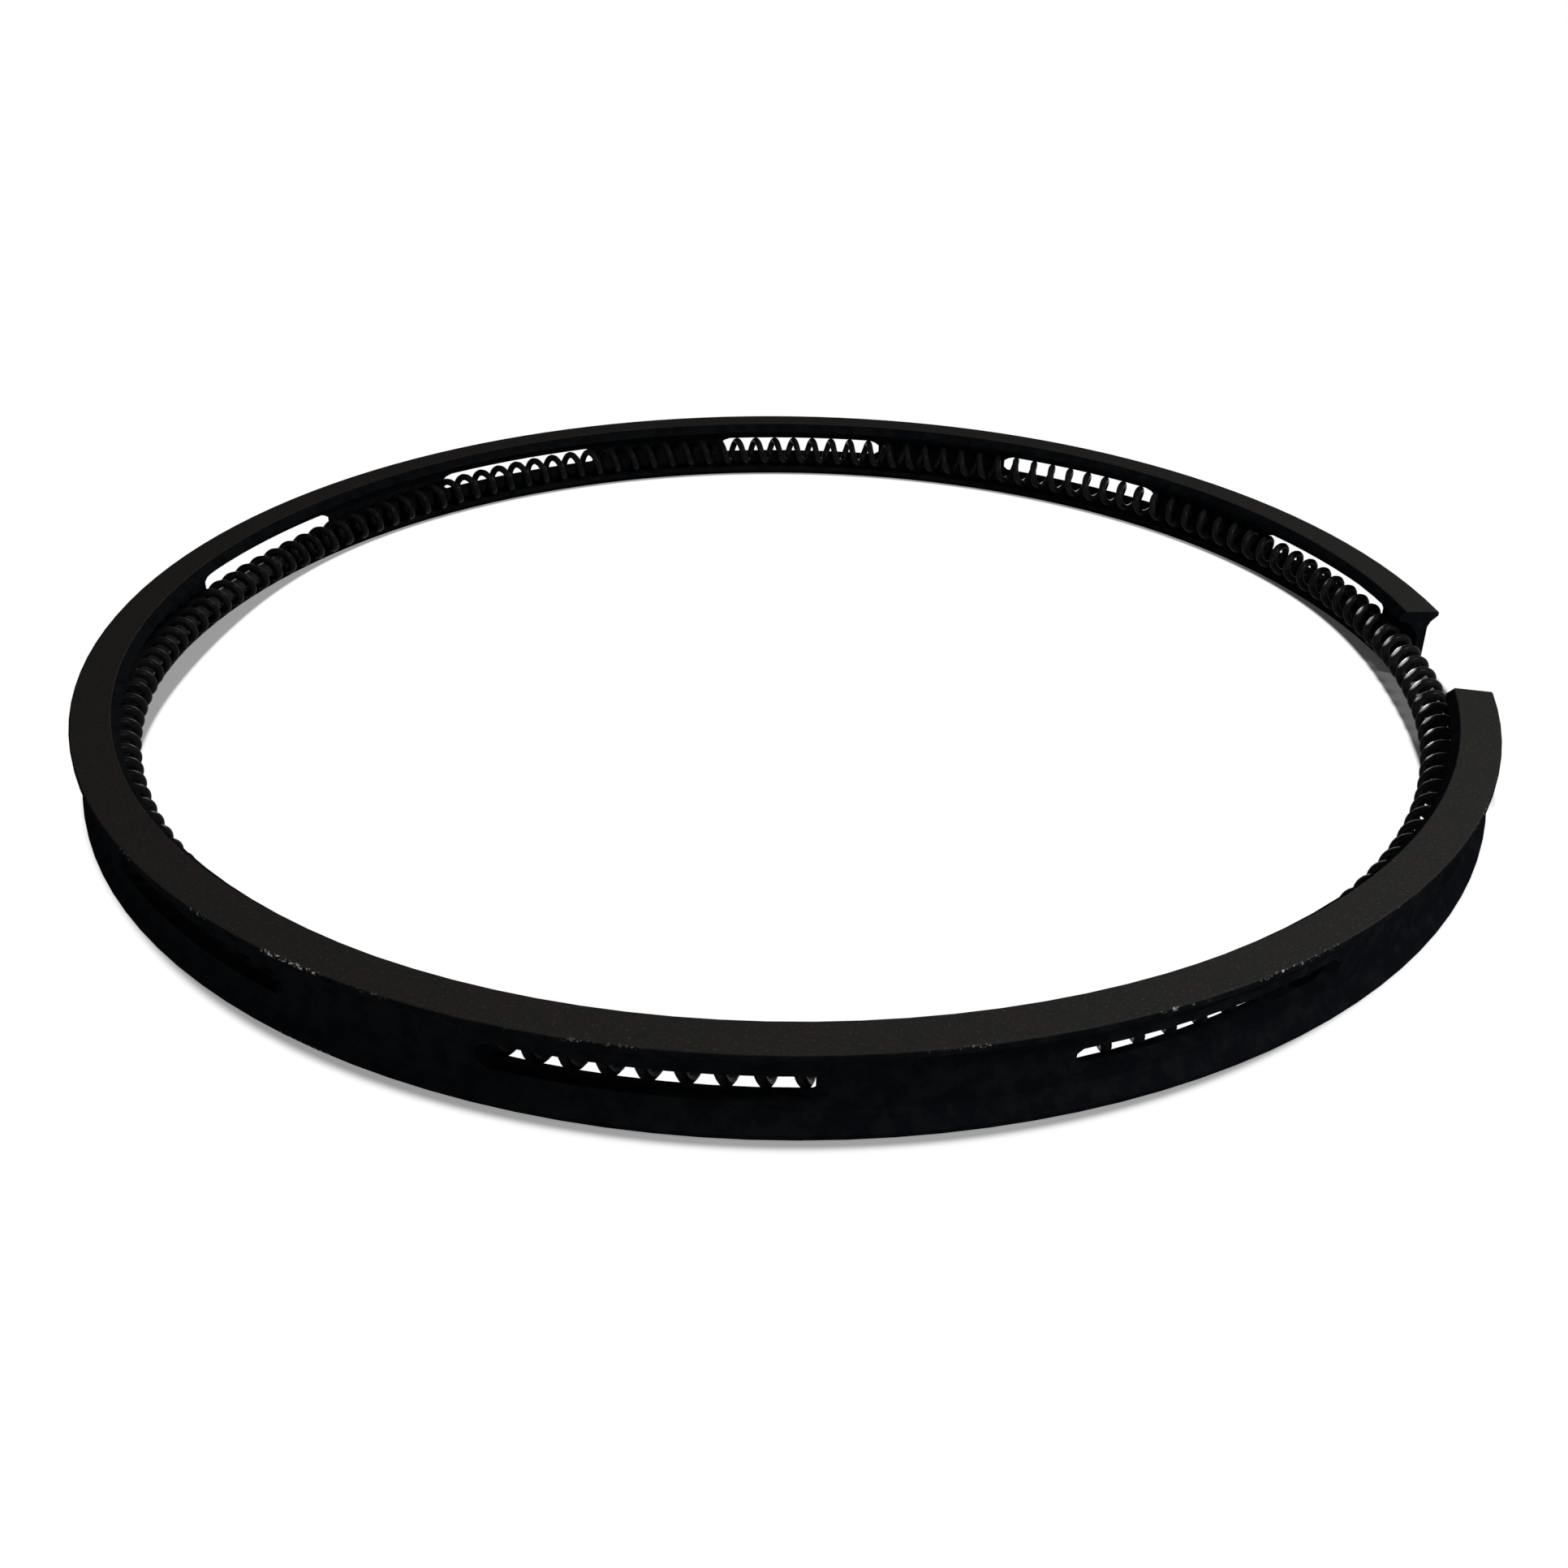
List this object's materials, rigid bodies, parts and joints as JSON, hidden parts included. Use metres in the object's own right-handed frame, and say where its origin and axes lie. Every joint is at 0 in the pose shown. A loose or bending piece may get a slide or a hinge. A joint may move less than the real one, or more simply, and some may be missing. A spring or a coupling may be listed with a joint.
{
  "type": "oil scraper ring",
  "caption": "Slotted oil scraper ring for an engine piston, with two narrow lands, a free gap, and a coil spring expander seated in the groove round its inside.",
  "frame": {"origin": "on the ring's axis, at its lower side face", "axes": "+Z along the ring's axis, from the lower side face to the upper; +X from the axis through the middle of the free gap"},
  "size_m": [0.0936, 0.094, 0.005],
  "materials": {
    "ring_body": "blackened, matt side faces, lands worn slightly bright",
    "coil_spring": "dark drawn spring wire",
    "latch_pin": "drawn wire"
  },
  "bodies": {
    "root": {"ring_body": "ring_body", "coil_spring": "coil_spring", "latch_pin": "latch_pin"}
  },
  "joints": []
}
